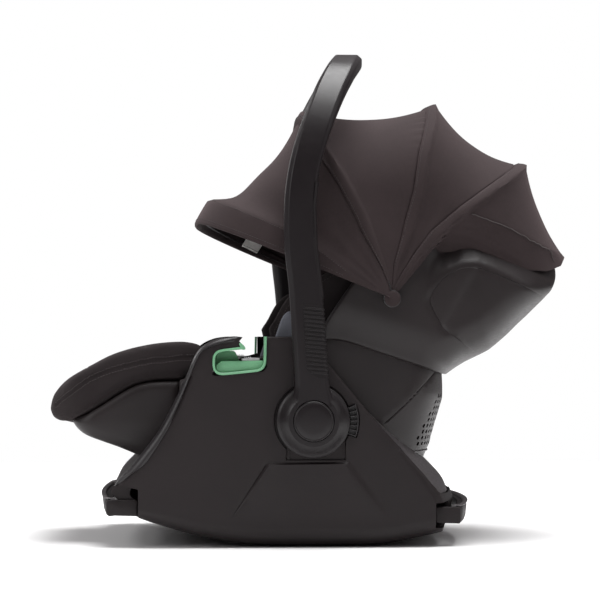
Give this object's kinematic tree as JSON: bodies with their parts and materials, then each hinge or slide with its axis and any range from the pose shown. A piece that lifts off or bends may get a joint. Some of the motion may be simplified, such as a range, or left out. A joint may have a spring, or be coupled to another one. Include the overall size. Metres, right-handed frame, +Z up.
{
  "type": "infant car seat",
  "caption": "Rear-facing infant car seat with a rocker base, a swinging carry handle, a reclining seat shell, belt guides and a folding canopy.",
  "frame": {"origin": "centre of the bounding box, on the surface the base stands on", "axes": "+X towards the head end, +Y towards the left of the seated child, +Z up"},
  "size_m": [0.6371, 0.44, 0.5975],
  "materials": {
    "base_plastic": "fine moulded grain, charcoal",
    "shell_plastic": "fine moulded grain, charcoal",
    "handle_plastic": "fine grain, slightly satin",
    "bow_plastic": "satin",
    "soft_grip": "soft ribbed",
    "guide_green": "satin sage green",
    "steel": "plain",
    "seat_fabric": "dense knit",
    "insert_fabric": "soft brushed knit",
    "webbing": "woven webbing",
    "buckle_red": "satin",
    "canopy_fabric": "dense plain weave, warm dark brown"
  },
  "bodies": {
    "base": {"base_shell": "base_plastic", "rear_deck": "shell_plastic", "foot_bar": "base_plastic", "head_bar": "base_plastic", "foot_bar_lip": "handle_plastic", "head_bar_lip": "handle_plastic", "belt_guide_right": "guide_green", "belt_guide_left": "guide_green", "belt_clamp_right": "steel", "belt_clamp_left": "steel", "foot_rim_right": "base_plastic", "foot_rim_left": "base_plastic", "hub_mount_right": "base_plastic", "hub_mount_left": "base_plastic", "index_comb_right": "handle_plastic", "index_comb_left": "handle_plastic", "handle_bolt_right": "steel", "handle_bolt_left": "steel"},
    "handle": {"handle_arch": "handle_plastic", "button_spring_right": "steel", "button_spring_left": "steel", "thumb_grip_right": "soft_grip", "thumb_grip_left": "soft_grip"},
    "handle_button_right": {"handle_button_right": "handle_plastic"},
    "handle_button_left": {"handle_button_left": "handle_plastic"},
    "seat": {"foot_shell": "shell_plastic", "seat_tub": "shell_plastic", "head_shell": "shell_plastic", "leg_pad": "seat_fabric", "seat_cushion": "seat_fabric", "back_cushion": "seat_fabric", "side_wing_right": "seat_fabric", "side_wing_left": "seat_fabric", "insert_wing_right": "insert_fabric", "insert_wing_left": "insert_fabric", "harness_buckle": "handle_plastic", "crotch_strap": "webbing", "shoulder_strap_right": "webbing", "shoulder_strap_left": "webbing", "shoulder_pad_right": "insert_fabric", "shoulder_pad_left": "insert_fabric", "crotch_pad": "insert_fabric", "adjuster_housing": "shell_plastic", "canopy_pivot_right": "steel", "canopy_pivot_left": "steel"},
    "headrest": {"headrest_board": "shell_plastic", "headrest_pad": "seat_fabric"},
    "buckle_button": {"buckle_button": "buckle_red"},
    "adjuster_button": {"adjuster_button": "handle_plastic"},
    "release_handle": {"release_handle": "handle_plastic"},
    "canopy_rear": {"canopy_bow_rear": "bow_plastic", "canopy_panel_rear": "canopy_fabric"},
    "canopy_middle": {"canopy_bow_middle": "bow_plastic", "canopy_panel_middle": "canopy_fabric"},
    "canopy_front": {"canopy_bow_front": "bow_plastic", "canopy_panel_front": "canopy_fabric"},
    "canopy_visor": {"canopy_bow_visor": "bow_plastic", "canopy_panel_visor": "canopy_fabric"}
  },
  "joints": [
    {"name": "handle_swing", "type": "hinge", "parent": "base", "child": "handle", "pos_m": [-0.004, 0, 0.149], "axis": [0, 1, 0], "range_deg": [-98, 75]},
    {"name": "handle_button_right_press", "type": "slide", "parent": "handle", "child": "handle_button_right", "axis": [0, 1, 0], "range_m": [0, 0.004], "stiffness_N_per_m": 900},
    {"name": "handle_button_left_press", "type": "slide", "parent": "handle", "child": "handle_button_left", "axis": [0, -1, 0], "range_m": [0, 0.004], "stiffness_N_per_m": 900},
    {"name": "seat_recline", "type": "hinge", "parent": "base", "child": "seat", "pos_m": [-0.004, 0, 0.21], "axis": [0, 1, 0], "range_deg": [0, 16]},
    {"name": "headrest_slide", "type": "slide", "parent": "seat", "child": "headrest", "axis": [0.788, 0, 0.6157], "range_m": [0, 0.05]},
    {"name": "buckle_button_press", "type": "slide", "parent": "seat", "child": "buckle_button", "axis": [0.4695, 0, -0.8829], "range_m": [0, 0.0035], "stiffness_N_per_m": 700},
    {"name": "adjuster_button_press", "type": "slide", "parent": "seat", "child": "adjuster_button", "axis": [-0.809, 0, -0.5878], "range_m": [0, 0.0035], "stiffness_N_per_m": 700},
    {"name": "release_handle_pull", "type": "slide", "parent": "seat", "child": "release_handle", "axis": [0, 0, 1], "range_m": [0, 0.01], "stiffness_N_per_m": 600},
    {"name": "canopy_rear_fold", "type": "hinge", "parent": "seat", "child": "canopy_rear", "pos_m": [0.09, 0, 0.292], "axis": [0, 1, 0], "range_deg": [0, 20]},
    {"name": "canopy_middle_fold", "type": "hinge", "parent": "canopy_rear", "child": "canopy_middle", "pos_m": [0.09, 0, 0.292], "axis": [0, 1, 0], "range_deg": [0, 26]},
    {"name": "canopy_front_fold", "type": "hinge", "parent": "canopy_middle", "child": "canopy_front", "pos_m": [0.09, 0, 0.292], "axis": [0, 1, 0], "range_deg": [0, 32]},
    {"name": "canopy_visor_fold", "type": "hinge", "parent": "canopy_front", "child": "canopy_visor", "pos_m": [0.09, 0, 0.292], "axis": [0, 1, 0], "range_deg": [0, 34]}
  ],
  "couplings": [
    {"joint": "canopy_middle_fold", "follows": "canopy_rear_fold", "ratio": 1.3},
    {"joint": "canopy_front_fold", "follows": "canopy_rear_fold", "ratio": 1.6},
    {"joint": "canopy_visor_fold", "follows": "canopy_rear_fold", "ratio": 1.7}
  ]
}
